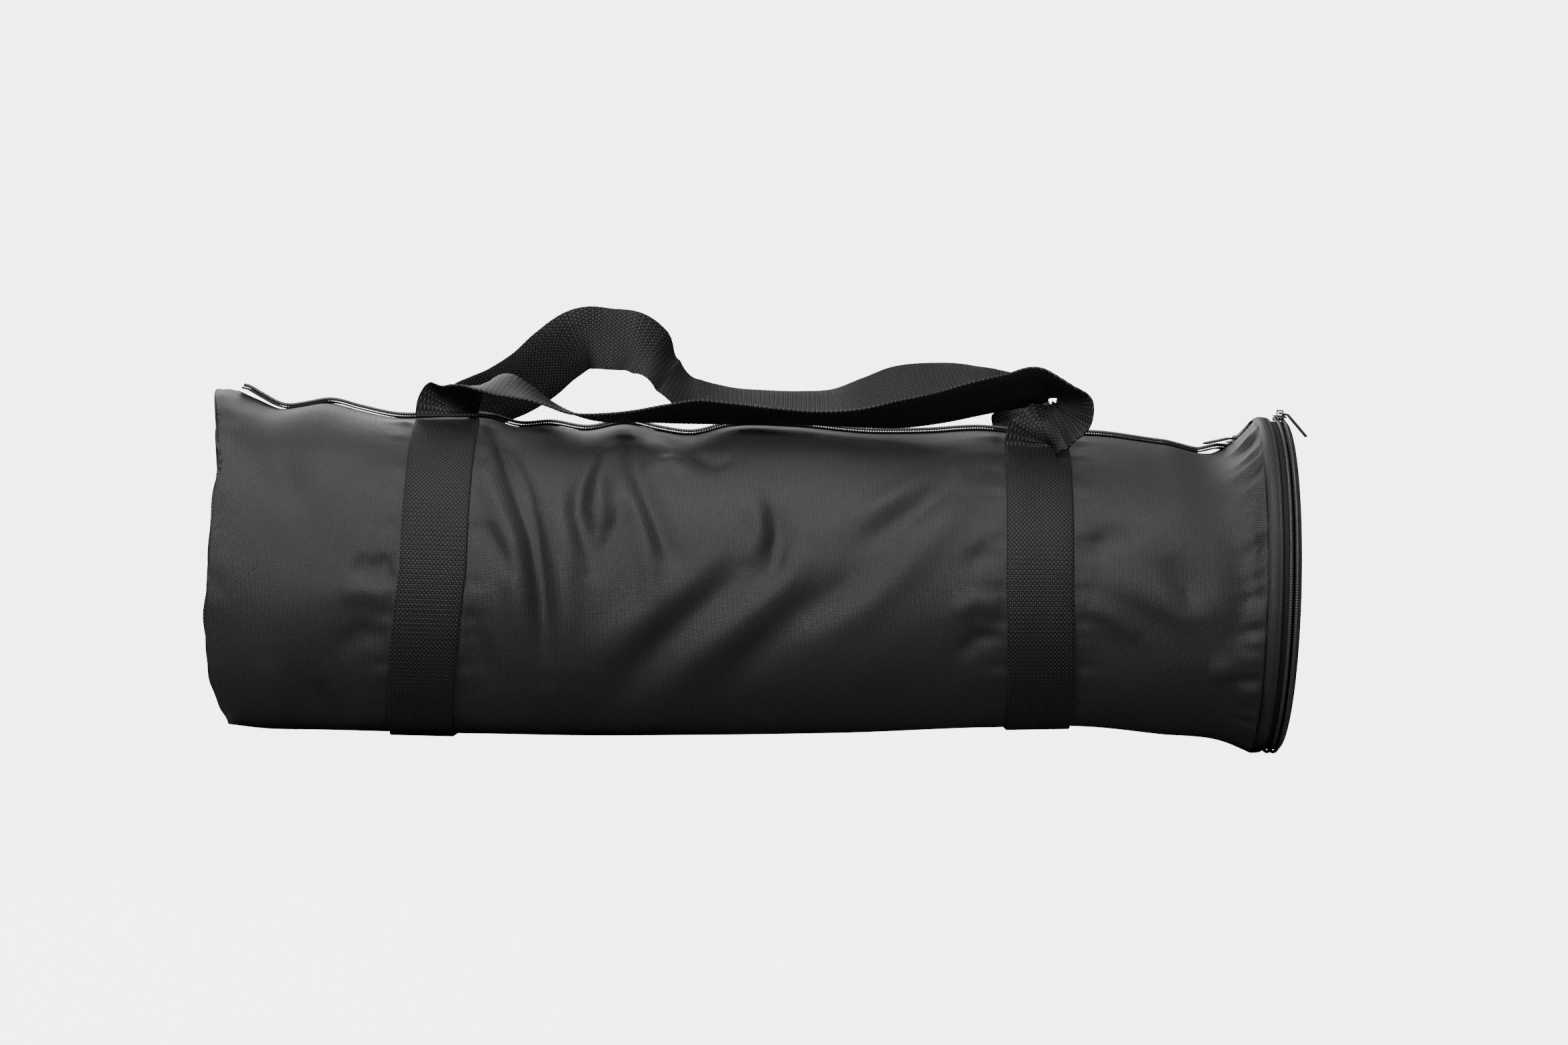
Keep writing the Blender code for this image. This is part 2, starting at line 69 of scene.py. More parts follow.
def soft_light(name, place, aim, size, watts):
    """A square area light at a place, turned to a point."""
    data = bpy.data.lights.new(name, "AREA")
    data.size = size
    data.energy = watts
    light = bpy.data.objects.new(name, data)
    way = Vector(aim) - Vector(place)
    light.matrix_world = Matrix.Translation(place) @ way.to_track_quat("-Z", "Y").to_matrix().to_4x4()
    bpy.context.scene.collection.objects.link(light)
    return light


CASE_MIDDLE = (0.0, 0.0, 0.11)
soft_light("key", (-0.7, -1.5, 1.35), CASE_MIDDLE, 0.5, 36)
soft_light("front", (0.4, -2.3, 1.25), CASE_MIDDLE, 0.8, 22)
soft_light("top", (0.1, 0.1, 1.9), CASE_MIDDLE, 1.4, 14)
soft_light("rear", (-0.4, 1.9, 1.1), CASE_MIDDLE, 1.2, 18)
world = bpy.data.worlds.new("studio")
world.use_nodes = True
sky = world.node_tree.nodes["Background"]
sky.inputs["Color"].default_value = (1.0, 1.0, 1.0, 1.0)
AMBIENT, BACKDROP = 0.08, 5.0
seen = world.node_tree.nodes.new("ShaderNodeLightPath")
strength = world.node_tree.nodes.new("ShaderNodeMath")
strength.operation = "MULTIPLY_ADD"
strength.inputs[1].default_value = BACKDROP - AMBIENT
strength.inputs[2].default_value = AMBIENT
world.node_tree.links.new(seen.outputs["Is Camera Ray"], strength.inputs[0])
world.node_tree.links.new(strength.outputs[0], sky.inputs["Strength"])
bpy.context.scene.world = world

# %% [markdown]
# ## Building materials from node groups
# Cloth, webbing and zip tape are all woven, so one node group makes the crossing threads for all
# three, with its own pitch in each. A second group varies a finish softly over the surface.
# Groups put out only values. The shader stays in the material, where its own sockets hold what
# is the same all over.

# %% Helpers for nodes


def add_node(tree, kind, values=(), **settings):
    """Adds a node, sets its properties, and fills or links its inputs."""
    made = tree.nodes.new(kind)
    for name, value in settings.items():
        setattr(made, name, value)
    for key, value in dict(values).items():
        if isinstance(value, bpy.types.NodeSocket):
            tree.links.new(value, made.inputs[key])
        else:
            made.inputs[key].default_value = value
    return made


def work_out(tree, operation, *values, clamp=False):
    """One step of arithmetic, as a socket."""
    node = add_node(tree, "ShaderNodeMath", dict(enumerate(values)), operation=operation, use_clamp=clamp)
    return node.outputs[0]


def new_group(name, ins, outs):
    tree = bpy.data.node_groups.new(name, "ShaderNodeTree")
    for label, kind in ins:
        tree.interface.new_socket(label, in_out="INPUT", socket_type=kind)
    for label, kind in outs:
        tree.interface.new_socket(label, in_out="OUTPUT", socket_type=kind)
    return tree, tree.nodes.new("NodeGroupInput").outputs, tree.nodes.new("NodeGroupOutput").inputs


# %% Crossing threads
FLOAT = "NodeSocketFloat"
VECTOR = "NodeSocketVector"


def make_threads():
    """Dots where one thread crosses over the other, used as painted highlights on the thread tops, and the
    height of both threads.
    """
    outs = [("Highlight Dots", FLOAT), ("Height", FLOAT)]
    ins = [("Place", VECTOR), ("Along", FLOAT), ("Across", FLOAT)]
    tree, given, result = new_group("crossing threads", ins, outs)
    split = add_node(tree, "ShaderNodeSeparateXYZ", {0: given["Place"]})
    waves = []
    for axis, pitch in (("X", "Along"), ("Y", "Across")):
        turns = work_out(tree, "DIVIDE", split.outputs[axis], given[pitch])
        waves.append(work_out(tree, "SINE", work_out(tree, "MULTIPLY", turns, 2 * math.pi)))
    weave = work_out(tree, "MULTIPLY", waves[0], waves[1])
    over = work_out(tree, "MAXIMUM", weave, 0.0)
    tree.links.new(work_out(tree, "POWER", over, 1.6), result["Highlight Dots"])
    tree.links.new(work_out(tree, "ABSOLUTE", weave), result["Height"])
    return tree


def make_variation():
    """A soft patchy value round 1, and fine grain."""
    outs = [("Patches", FLOAT), ("Grain", FLOAT)]
    tree, given, result = new_group("soft variation", [("Place", VECTOR), ("Patch Scale", FLOAT)], outs)
    broad_values = {"Vector": given["Place"], "Scale": given["Patch Scale"], "Detail": 3.0}
    broad = add_node(tree, "ShaderNodeTexNoise", broad_values)
    fine = add_node(tree, "ShaderNodeTexNoise", {"Vector": given["Place"], "Scale": 900.0, "Detail": 2.0})
    tree.links.new(broad.outputs[0], result["Patches"])
    tree.links.new(fine.outputs[0], result["Grain"])
    return tree


THREADS = make_threads()
VARIATION = make_variation()
print("node groups:", THREADS.name, "and", VARIATION.name)

# %% Woven finishes


def woven(name, dark, light, pitch, roughness, relief, shine=0.4, patch_scale=14.0, sheen=0.0):
    """A woven finish. Dark is painted shade between the threads and light a painted highlight on their
    tops, round the cloth's own grey.
    """
    made = bpy.data.materials.new(name)
    made.use_nodes = True
    tree = made.node_tree
    shader = tree.nodes["Principled BSDF"]
    place = add_node(tree, "ShaderNodeUVMap", uv_map="cloth").outputs[0]
    solid = add_node(tree, "ShaderNodeTexCoord").outputs["Object"]
    threads = add_node(tree, "ShaderNodeGroup", node_tree=THREADS)
    tree.links.new(place, threads.inputs["Place"])
    threads.inputs["Along"].default_value = pitch[0]
    threads.inputs["Across"].default_value = pitch[1]
    soft = add_node(tree, "ShaderNodeGroup", node_tree=VARIATION)
    tree.links.new(solid, soft.inputs["Place"])
    soft.inputs["Patch Scale"].default_value = patch_scale
    patches = work_out(tree, "MULTIPLY_ADD", soft.outputs["Patches"], 0.7, 0.65)
    grain = work_out(tree, "MULTIPLY_ADD", soft.outputs["Grain"], 1.2, 0.4)
    # Painted light: the thread tops get a painted highlight and the gaps between them painted shade, round
    # the cloth's own near-black.
    lit = work_out(tree, "MULTIPLY", threads.outputs["Highlight Dots"], grain)
    shade = work_out(tree, "MULTIPLY", lit, patches, clamp=True)
    colour = add_node(tree, "ShaderNodeMix", {0: shade, 6: dark, 7: light}, data_type="RGBA")
    tree.links.new(colour.outputs[2], shader.inputs["Base Color"])
    gloss = work_out(tree, "MULTIPLY_ADD", lit, -0.16, roughness)
    tree.links.new(gloss, shader.inputs["Roughness"])
    bump_values = {"Height": threads.outputs["Height"], "Strength": 0.6, "Distance": relief}
    bump = add_node(tree, "ShaderNodeBump", bump_values)
    tree.links.new(bump.outputs[0], shader.inputs["Normal"])
    shader.inputs["Specular IOR Level"].default_value = shine
    shader.inputs["Sheen Weight"].default_value = sheen
    return made


# Painted shade between and painted highlight on the threads, then pitch, roughness, relief and shine
CLOTH = woven(
    "cloth", (0.009, 0.009, 0.0095, 1), (0.105, 0.105, 0.107, 1), (0.00147, 0.00147), 0.50, 0.00022, 0.40
)
LINING = woven(
    "lining", (0.020, 0.020, 0.021, 1), (0.040, 0.040, 0.041, 1), (0.0011, 0.0011), 0.75, 0.0001, 0.2
)
WEBBING = woven(
    "webbing", (0.006, 0.006, 0.0065, 1), (0.070, 0.070, 0.072, 1), (0.0028, 0.0024), 0.55, 0.0004, 0.28
)
TAPE = woven(
    "zip tape", (0.007, 0.007, 0.007, 1), (0.030, 0.030, 0.031, 1), (0.0012, 0.0010), 0.70, 0.0001, 0.25
)
print("woven finishes:", CLOTH.name, LINING.name, WEBBING.name, TAPE.name)

# %% Plain finishes with a grain


def grained(name, colour, roughness, metallic=0.0, shine=0.5):
    """Metal, nylon or rubber: one colour that varies a little, and a roughness that varies more."""
    made = bpy.data.materials.new(name)
    made.use_nodes = True
    tree = made.node_tree
    shader = tree.nodes["Principled BSDF"]
    solid = add_node(tree, "ShaderNodeTexCoord").outputs["Object"]
    soft = add_node(tree, "ShaderNodeGroup", node_tree=VARIATION)
    tree.links.new(solid, soft.inputs["Place"])
    soft.inputs["Patch Scale"].default_value = 160.0
    brighter = tuple(min(1.0, c * 1.5) for c in colour) + (1.0,)
    darker = tuple(c * 0.7 for c in colour) + (1.0,)
    tones = {0: soft.outputs["Patches"], 6: darker, 7: brighter}
    tone = add_node(tree, "ShaderNodeMix", tones, data_type="RGBA")
    tree.links.new(tone.outputs[2], shader.inputs["Base Color"])
    rough = work_out(tree, "MULTIPLY_ADD", soft.outputs["Patches"], 0.2, roughness - 0.1)
    tree.links.new(rough, shader.inputs["Roughness"])
    bump_values = {"Height": soft.outputs["Grain"], "Strength": 0.15, "Distance": 0.00005}
    bump = add_node(tree, "ShaderNodeBump", bump_values)
    tree.links.new(bump.outputs[0], shader.inputs["Normal"])
    shader.inputs["Metallic"].default_value = metallic
    shader.inputs["Specular IOR Level"].default_value = shine
    return made


METAL = grained("gunmetal", (0.11, 0.11, 0.115), 0.36, 0.9)
NYLON = grained("nylon", (0.030, 0.030, 0.031), 0.34)
GREY = grained("light grey", (0.36, 0.36, 0.37), 0.55)
print("plain finishes:", METAL.name, NYLON.name, GREY.name)

# %% [markdown]
# ## Laying cloth on a grid
# Every soft piece here is a grid of squares that is bent into place, the way a flat cut of cloth is.
# The grid comes from bmesh, each point is moved to its place, and the flat size is kept as UVs in
# metres, so the weave keeps its pitch wherever the cloth goes.

# %% Helpers for grids


def lay_grid(name, places, flat, material, core=None, closed=False, capped=False):
    """A grid whose points are moved to the places. Both arrays count along first, then across."""
    along, across = places.shape[0] - 1, places.shape[1] - 1
    work = bmesh.new()
    bmesh.ops.create_grid(work, x_segments=along, y_segments=across, size=0.5)
    sheet = work.loops.layers.uv.new("cloth")
    spot = {
        vert: (round((vert.co.x + 0.5) * along), round((vert.co.y + 0.5) * across)) for vert in work.verts
    }
    for face in work.faces:
        for loop in face.loops:
            loop[sheet].uv = flat[spot[loop.vert]]
    for vert, index in spot.items():
        vert.co = places[index]
    bmesh.ops.remove_doubles(work, verts=work.verts, dist=1e-6)
    if capped:
        bmesh.ops.holes_fill(work, edges=[edge for edge in work.edges if edge.is_boundary], sides=0)
    bmesh.ops.recalc_face_normals(work, faces=work.faces)
    if core is not None:
        facing = 0
        for face in work.faces:
            middle = face.calc_center_median()
            facing += face.normal.dot(middle - core(middle))
        if facing < 0:
            bmesh.ops.reverse_faces(work, faces=work.faces)
    for face in work.faces:
        face.smooth = len(face.verts) < 5
    mesh = bpy.data.meshes.new(name)
    work.to_mesh(mesh)
    work.free()
    mesh.materials.append(material)
    piece = bpy.data.objects.new(name, mesh)
    bpy.context.scene.collection.objects.link(piece)
    print(name, len(mesh.polygons), "faces")
    return piece


def case_axis(point):
    """The point on the case's long axis beside another point."""
    return Vector((point.x, 0.0, 0.1))


def thicken(piece, thickness):
    """Gives a sheet its thickness on its inner side."""
    wall = piece.modifiers.new("thickness", "SOLIDIFY")
    wall.thickness = thickness
    wall.offset = -1.0
    return piece


def settle(piece, body, slot, *nodes):
    """Fixes a piece to a body of the frame, in place of some CAD solids."""
    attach(piece, body)
    if nodes:
        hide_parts(*nodes)
    return piece


# %% Helper for long pieces: a section swept along a path


def sweep(name, centres, across, up, section, material, closed=False, swell=None):
    """A closed section carried along centres. Each section point is (across, up), in metres."""
    centres, across, up = (np.array(item, float) for item in (centres, across, up))
    ring = np.array(list(section) + [section[0]], float)
    lift = np.ones(len(centres)) if swell is None else swell
    places = centres[:, None, :] + ring[None, :, 0, None] * across[:, None, :]
    places = places + (ring[None, :, 1] * lift[:, None])[:, :, None] * up[:, None, :]
    steps = np.linalg.norm(np.diff(centres, axis=0), axis=1)
    length = np.concatenate(([0.0], np.cumsum(steps)))
    flat = np.stack(np.broadcast_arrays(length[:, None], ring[None, :, 0]), axis=2)
    piece = lay_grid(name, places, flat, material, capped=not closed)
    return piece, float(length[-1])


def strap_section(width, thickness):
    """The section of a woven strap, with round edges."""
    half, top = width / 2, thickness / 2
    edge = half - top
    quarter = top * 0.7
    side = [(edge, -top), (edge + quarter, -quarter), (half, 0.0), (edge + quarter, quarter), (edge, top)]
    flat = [(edge * share, top) for share in (0.5, 0.0, -0.5)]
    return side + flat + [(-a, -b) for a, b in side] + [(-a, -b) for a, b in flat]


def curve_at(table, x):
    """A smooth curve through a table's rows, read at x. The first value of each row is its x."""
    rows = np.array(table, float)
    x = np.clip(np.asarray(x, float), rows[0, 0], rows[-1, 0])
    k = np.clip(np.searchsorted(rows[:, 0], x) - 1, 0, len(rows) - 2)
    slopes = np.gradient(rows[:, 1:], rows[:, 0], axis=0)
    span = (rows[k + 1, 0] - rows[k, 0])[..., None]
    share = ((x - rows[k, 0])[..., None]) / span
    first, second = rows[k, 1:], rows[k + 1, 1:]
    start = (2 * share**3 - 3 * share**2 + 1) * first + (share**3 - 2 * share**2 + share) * span * slopes[k]
    end = (3 * share**2 - 2 * share**3) * second + (share**3 - share**2) * span * slopes[k + 1]
    return start + end


# %% [markdown]
# ## The body cloth
# The real body is one sheet of coated polyester round a foam wall, pulled by the zip, the bands and
# the seams. It is laid over the same sections as the frame's solid. Its top edge waves where the
# zip is longer than the cloth beside it, folds run down from the zip and rise to the right, and
# the cloth puckers where it is sewn to the bands and to the round end.

# %% The body's sections
ZIP_LINE = 0.1875
ZIP_SLOPE = 0.0155
SLOT = 0.0120
DROP = 0.0046
CLOTH_THICKNESS = 0.0015
LEFT_END, RIGHT_END = -0.3165, 0.2946


def chain_height(x):
    return ZIP_LINE - ZIP_SLOPE * x


# Place along the case, underside, top, half width and lean of the section's plane
SECTIONS = [
    (-0.3165, 0.0040, 0.2005, 0.0985, 0.075),
    (-0.2930, 0.0021, chain_height(-0.2930), 0.1010, 0.040),
    (-0.2600, 0.0021, chain_height(-0.2600), 0.1020, 0.010),
    (-0.2250, 0.0021, chain_height(-0.2250), 0.1025, 0.0),
    (-0.1560, 0.0021, chain_height(-0.1560), 0.1030, 0.0),
    (-0.1000, 0.0024, chain_height(-0.1000), 0.1035, 0.0),
    (-0.0300, 0.0045, chain_height(-0.0300), 0.1035, 0.0),
    (0.0500, 0.0075, chain_height(0.0500), 0.1030, 0.0),
    (0.1380, 0.0130, chain_height(0.1380), 0.1020, 0.0),
    (0.1960, 0.0150, chain_height(0.1960), 0.1015, 0.0),
    (0.2400, 0.0115, chain_height(0.2400), 0.1005, 0.0),
    (0.2780, 0.0080, chain_height(0.2780), 0.0990, 0.0),
    (0.2900, 0.0040, 0.1940, 0.0990, 0.0),
    (0.2946, 0.0020, 0.2000, 0.0990, 0.0),
]
# How far the zip's line stands above the straight chain, in millimetres
ZIP_WAVE = [
    (-0.3165, 3.0), (-0.3090, 6.5), (-0.3000, 5.5), (-0.2850, 2.0), (-0.2720, 3.5), (-0.2575, 5.6),
    (-0.2400, 2.0), (-0.2200, -1.6), (-0.1850, 0.0), (-0.1620, 0.0), (-0.1450, -4.2), (-0.1250, -2.6),
    (-0.1050, -5.0), (-0.0790, 0.0), (-0.0610, -3.4), (-0.0410, -5.2), (-0.0190, 0.8), (0.0170, 2.4),
    (0.0670, 0.0), (0.0990, 1.6), (0.1310, 4.6), (0.1600, 3.0), (0.2020, 4.0), (0.2470, 0.0),
    (0.2700, 0.0), (0.2830, 0.0), (0.2946, 0.0),
]


# Where the left rim stands at each height: it slumps, so it isn't flat. The slump starts inwards
# of the rim and grows towards it.
SLUMP_START = -0.262
RIM_HEIGHTS = (0.008, 0.030, 0.050, 0.090, 0.123, 0.160, 0.188, 0.2005)
RIM_PLACES = (-0.3110, -0.3160, -0.3175, -0.3160, -0.3147, -0.3134, -0.3190, -0.3250)


def case_surface(x, angle, inset=0.0):
    """Points of the body, without folds. The angle runs from the zip down the front."""
    x, angle = np.broadcast_arrays(np.asarray(x, float), np.asarray(angle, float))
    row = curve_at(SECTIONS, x)
    underside, top, half_width, lean = (row[..., k] for k in range(4))
    height = (top - underside + DROP) / 2
    y = -(half_width - inset) * np.sin(angle)
    z = top - height + (height - inset) * np.cos(angle)
    z = np.maximum(z, underside + inset)
    lift = curve_at(ZIP_WAVE, x)[..., 0] / 1000
    z = z + lift * np.clip(np.cos(angle), 0, 1) ** 4
    leaning = x - lean * (z - 0.1)
    near = np.clip((SLUMP_START - x) / (SLUMP_START - LEFT_END), 0, 1)
    straight_rim = LEFT_END - curve_at(SECTIONS, np.array([LEFT_END]))[0, 3] * (z - 0.1)
    slump = np.interp(z, RIM_HEIGHTS, RIM_PLACES) - straight_rim
    return np.stack((leaning + slump * near**1.5, y, z), axis=-1)


# %% Folds of the body cloth
# Depth and half width in millimetres, then stops along the fold: x in millimetres, and degrees
# from the zip down the front. A negative depth is a hollow.
FRONT_FOLDS = [
    (-6.5, 6, [(-163, 13), (-148, 37), (-138, 55), (-129, 73), (-124, 89), (-121, 104), (-121, 127)]),
    (4.0, 8, [(-162, 40), (-152, 60), (-142, 76), (-136, 95), (-135, 117)]),
    (3.0, 9, [(-114, 60), (-110, 80), (-108, 100), (-108, 120)]),
    (-2.5, 6, [(-164, 66), (-147, 80), (-136, 90)]),
    (-2.5, 7, [(-170, 98), (-158, 114), (-147, 134)]),
    (-4.5, 6, [(-95, 36), (-103, 55), (-104, 64), (-99, 75), (-94, 85)]),
    (-3.0, 6, [(-94, 85), (-84, 73), (-75, 60)]),
    (4.0, 7, [(-86, 34), (-93, 51), (-92, 63), (-88, 72)]),
    (-4.0, 6, [(-77, 26), (-72, 46), (-62, 63), (-52, 77), (-41, 84)]),
    (3.0, 7, [(-73, 54), (-66, 69), (-61, 85), (-60, 98)]),
    (-3.0, 6, [(-55, 16), (-42, 32), (-26, 41), (-14, 37)]),
    (3.0, 7, [(-62, 44), (-51, 40), (-36, 47)]),
    (-4.0, 6, [(8, 58), (13, 71), (11, 82), (1, 93)]),
    (3.5, 7, [(-1, 56), (1, 71), (-6, 84)]),
    (-4.0, 12, [(-87, 139), (-62, 119), (-38, 102), (-12, 88), (4, 79)]),
    (4.0, 12, [(-97, 119), (-72, 106), (-44, 92), (-17, 77)]),
    (-4.0, 12, [(-33, 140), (-4, 118), (25, 100), (52, 90), (81, 78)]),
    (4.5, 12, [(-63, 139), (-38, 118), (-9, 102), (18, 86), (28, 72)]),
    (-3.5, 9, [(56, 77), (73, 69), (95, 58), (120, 42)]),
    (3.5, 9, [(49, 68), (68, 60), (88, 51), (112, 40)]),
    (4.0, 12, [(38, 109), (62, 96), (88, 80), (108, 65), (120, 52)]),
    (-3.5, 7, [(142, 82), (132, 77), (120, 82)]),
    (-3.0, 7, [(143, 108), (128, 110), (117, 118)]),
    (3.0, 7, [(142, 97), (125, 95), (113, 101)]),
    (-3.0, 10, [(-281, 42), (-272, 56), (-258, 70)]),
    (3.0, 12, [(-211, 48), (-234, 62), (-252, 80)]),
    (-3.5, 8, [(-208, 84), (-220, 88), (-232, 84)]),
    (3.0, 8, [(-207, 96), (-224, 94), (-240, 96)]),
    (-2.5, 8, [(-208, 112), (-226, 110), (-244, 118)]),
    (-4.5, 12, [(280, 56), (284, 74), (284, 92), (276, 112)]),
    (4.0, 12, [(194, 84), (220, 90), (248, 96), (266, 92)]),
    (3.5, 8, [(262, 116), (270, 117), (280, 113)]),
    (-3.5, 8, [(190, 78), (202, 70), (216, 68)]),
    (3.0, 8, [(190, 96), (206, 100), (224, 108)]),
    (-3.0, 9, [(236, 74), (248, 86), (254, 98)]),
    (-3.0, 8, [(-258, 128), (-250, 142), (-244, 158)]),
    (3.0, 9, [(-286, 118), (-280, 134), (-278, 152)]),
]
BAND_EDGES = ((-0.2045, -0.1665, -0.0105), (0.1440, 0.1820, 0.0060))
AROUND = 0.100  # radius that turns degrees into distance over the cloth


def fold_field(x, angle):
    """How far the folds lift the cloth, in metres."""
    lift = np.zeros_like(x)
    spread = angle * AROUND
    for mirrored in (False, True):
        for depth, half_width, stops in FRONT_FOLDS:
            stops = np.array(stops, float)
            if mirrored:
                stops = np.stack((-8 - stops[:, 0] * 0.93, 360 - stops[:, 1]), axis=1)
            ends = np.stack((stops[:, 0] / 1000, np.radians(stops[:, 1]) * AROUND), axis=1)
            nearest = np.full_like(x, 1e9)
            share_at = np.zeros_like(x)
            for k, (first, second) in enumerate(zip(ends, ends[1:])):
                way = second - first
                share = ((x - first[0]) * way[0] + (spread - first[1]) * way[1]) / way.dot(way)
                share = np.clip(share, 0, 1)
                gap = np.hypot(x - first[0] - share * way[0], spread - first[1] - share * way[1])
                closer = gap < nearest
                nearest = np.where(closer, gap, nearest)
                share_at = np.where(closer, (k + share) / (len(ends) - 1), share_at)
            taper = np.sin(np.pi * np.clip(share_at, 0.04, 0.96)) ** 0.7
            reach = nearest / (half_width / 1000)
            lift += depth / 1000 * taper * np.exp(-(reach**2))
    return lift


def ripples(x, angle):
    """Low uneven swells all over, from a few waves that don't repeat."""
    total = np.zeros_like(x)
    waves = ((31, 3, 0.4, 0.5), (47, -4, 2.1, 0.4), (73, 7, 1.3, 0.35), (19, 5, 4.0, 0.5))
    for across, round_it, phase, size in waves:
        total += size * np.sin(across * x + round_it * angle + phase)
    return total / 1000


def pucker(x, angle):
    """Gathers beside the seams of the round end and the bands, which die out away from the seam."""
    total = np.zeros_like(x)
    wobble = np.sin(23 * angle + 0.7) + 0.7 * np.sin(37 * angle + 2.0) + 0.6 * np.sin(58 * angle + 1.1)
    total += 0.0010 * wobble * np.exp(-((RIGHT_END - 0.004 - x) / 0.010) ** 2)
    edge_wobble = np.sin(17 * angle + 1.9) + 0.6 * np.sin(29 * angle)
    total += 0.0006 * edge_wobble * np.exp(-((LEFT_END - x) / 0.010) ** 2)
    for low, high, shift in BAND_EDGES:
        for edge in (low, high):
            line = edge + shift * np.clip(-np.cos(angle), 0, 1)
            total += 0.0005 * wobble * np.exp(-(((x - line) / 0.012) ** 2))
    return total


def held_down(x, angle):
    """1 where the cloth is free, falling to 0 under the bands, at the seams, at the zip and underneath."""
    free = np.clip((x - LEFT_END) / 0.012, 0, 1) * np.clip((RIGHT_END - x) / 0.008, 0, 1)
    for low, high, shift in BAND_EDGES:
        line = shift * np.clip(-np.cos(angle), 0, 1)
        outside = np.maximum(low + line - x, x - high - line)
        free = free * np.clip(outside / 0.006, 0, 1)
    from_zip = np.minimum(angle, 2 * math.pi - angle) * AROUND - SLOT
    free = free * np.clip(from_zip / 0.020, 0, 1)
    return free * np.clip((np.cos(angle) + 0.97) / 0.20, 0, 1)


ALONG_STEPS = 420
ROUND_STEPS = 220
start = math.asin(SLOT / 0.1015)
grid_x, grid_angle = np.meshgrid(
    np.linspace(LEFT_END, RIGHT_END, ALONG_STEPS + 1),
    np.linspace(start, 2 * math.pi - start, ROUND_STEPS + 1),
    indexing="ij",
)
smooth_places = case_surface(grid_x, grid_angle)
along_way = np.gradient(smooth_places, axis=0)
round_way = np.gradient(smooth_places, axis=1)
outwards = np.cross(along_way, round_way)
outwards /= np.linalg.norm(outwards, axis=2, keepdims=True)
outwards *= np.sign((outwards * (smooth_places - [0, 0, 0.1]))[..., 1:].sum(axis=2, keepdims=True))
lift = (fold_field(grid_x, grid_angle) + ripples(grid_x, grid_angle)) * held_down(grid_x, grid_angle)
lift = np.clip(lift, -0.0043, 0.0060)
lift += pucker(grid_x, grid_angle) * np.clip(held_down(grid_x, grid_angle) + 0.25, 0, 1)
body_places = smooth_places + outwards * lift[..., None]
body_flat = np.stack((grid_x, grid_angle * AROUND), axis=2)
case_cloth = lay_grid("case_cloth", body_places, body_flat, CLOTH, core=case_axis)
thicken(case_cloth, CLOTH_THICKNESS)
settle(case_cloth, "case", "cloth", "body_shell")

# %% The foam wall
# The wall is a quilted foam sheet under the cloth. It is seen only when the door is open.
FOAM = 0.005
LINING_INSET = CLOTH_THICKNESS + 0.0085
wall_x, wall_angle = np.meshgrid(
    np.linspace(-0.2960, 0.2800, 121),
    np.linspace(start + 0.02, 2 * math.pi - start - 0.02, 97),
    indexing="ij",
)
channel = np.minimum(np.abs(np.sin(wall_x * 52)), np.abs(np.sin(wall_angle * 5)))
wall_depth = LINING_INSET - 0.0012 * np.clip(channel * 3, 0, 1)
inner = case_surface(wall_x, wall_angle)
inner[..., 1] *= 1 - wall_depth / 0.101
inner[..., 2] = 0.0975 + (inner[..., 2] - 0.0975) * (1 - wall_depth / 0.095)
wall_flat = np.stack((wall_x, wall_angle * AROUND), axis=2)
lining = lay_grid("case_lining", inner, wall_flat, LINING, core=case_axis)
wall = lining.modifiers.new("foam", "SOLIDIFY")
wall.thickness = 0.0020
wall.offset = 1.0
settle(lining, "case", "foam", "body_padding")

# %% [markdown]
# ## The left end
# A round panel of the same cloth closes the left end. It leans with the body's last section, and a
# foam disc behind it keeps it nearly flat. The seam round it wavers a little.

# %% Discs for the ends


def disc_places(rim, centre, rings, dome, way):
    """A disc from its centre to its rim points, pushed out by dome along a direction."""
    share = np.linspace(0.0, 1.0, rings + 1)[:, None, None]
    flat = np.array(centre) + share * (rim[None, :, :] - np.array(centre))
    return flat + np.array(way) * dome * (1 - share**2)


end_angle = np.linspace(0, 2 * math.pi, 181)
left_rim = case_surface(np.full_like(end_angle, LEFT_END), end_angle)
left_rim[:, 0] -= 0.0003 + 0.0006 * (np.sin(11 * end_angle) + np.sin(17 * end_angle + 1.0))
left_rim[0] = left_rim[-1]
left_centre = (float(left_rim[:, 0].mean()), 0.0, float(left_rim[:, 2].mean()))
left_places = disc_places(left_rim, left_centre, 40, 0.0028, (-1, 0, 0))
left_flat = left_places[..., 1:].copy()
left_panel = lay_grid("left_end_cloth", left_places, left_flat, CLOTH, core=case_axis)


def flip_towards(piece, way):
    """Turns an open sheet's faces towards a direction."""
    total = sum(polygon.normal.dot(Vector(way)) for polygon in piece.data.polygons)
    if total < 0:
        piece.data.flip_normals()


flip_towards(left_panel, (-1, 0, 0))
thicken(left_panel, CLOTH_THICKNESS)
settle(left_panel, "case", "cloth", "left_end_panel")

inner_rim = np.array(left_centre) + (left_rim - np.array(left_centre)) * 0.93 + [0.0080, 0, 0]
pad_places = disc_places(inner_rim, np.array(left_centre) + [0.0080, 0, 0], 20, 0.0, (1, 0, 0))
left_pad = lay_grid("left_end_lining", pad_places, pad_places[..., 1:].copy(), LINING)
flip_towards(left_pad, (1, 0, 0))
thicken(left_pad, FOAM)
settle(left_pad, "case", "foam", "left_end_padding")

# %% [markdown]
# ## The round end
# A narrow stiff ring of cloth joins the body to the zip round the door. Beyond the zip's coils, the
# door's own tape stands as a thin strip, and its panel closes the end. Over the upper rear the zip
# stops, and plain cloth is the door's hinge.

# %% Rings
RIM_RADIUS = 0.1012
RIM_HEIGHT = RIM_RADIUS * math.cos(math.pi / 48)
CHAIN_X = 0.3094
CHAIN_GAP = 0.0012
COIL_WIDTH, COIL_HEIGHT = 0.0024, 0.0022
TAPE_RADIUS, TAPE_THICKNESS = 0.0984, 0.0010
CHAIN_ARC = (92.0, 358.0)
HINGE_ARC = (-1.5, 91.5)


